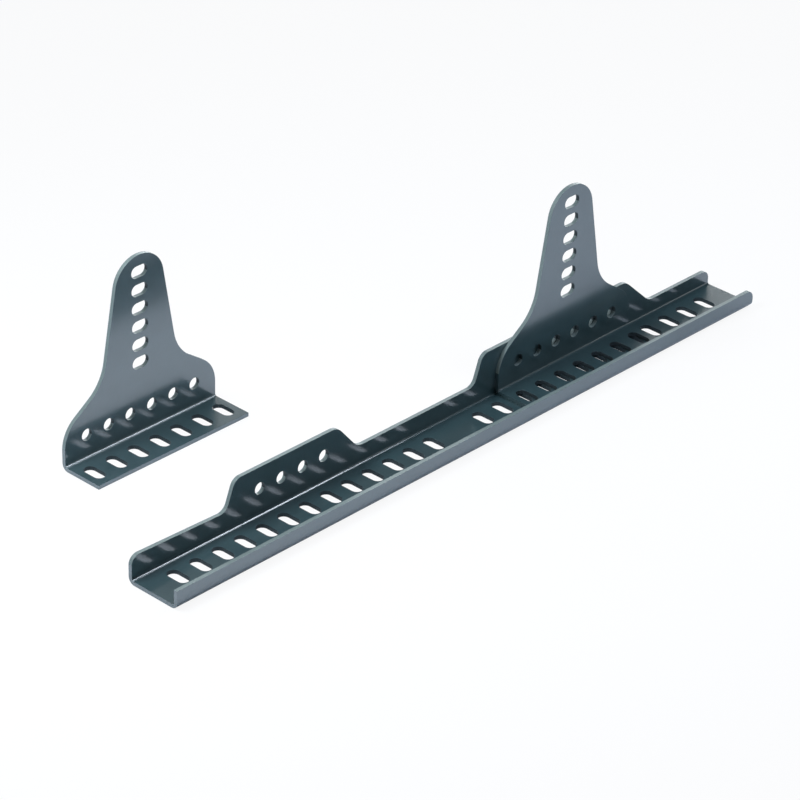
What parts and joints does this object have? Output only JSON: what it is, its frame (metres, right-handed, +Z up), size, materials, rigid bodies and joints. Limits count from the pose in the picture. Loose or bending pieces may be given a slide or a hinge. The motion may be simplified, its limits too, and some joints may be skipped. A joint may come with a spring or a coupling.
{
  "type": "seat side mount",
  "caption": "Slotted folded-steel base rail with bolt-hole ears, and upright foot brackets whose ladder of slots takes the side bolts of a seat.",
  "frame": {"origin": "middle of the rail's underside, half way along its length and its width", "axes": "+X along the rail from its near end to its far end, +Y from the low front flange to the back flange with the ears, +Z up, away from the floor the rail rests on"},
  "size_m": [0.58, 0.1799, 0.143],
  "materials": {
    "paint": "semi-gloss dark blue-grey coating over steel sheet"
  },
  "bodies": {
    "root": {"rail": "paint", "fitted_bracket": "paint", "loose_bracket": "paint"}
  },
  "joints": []
}
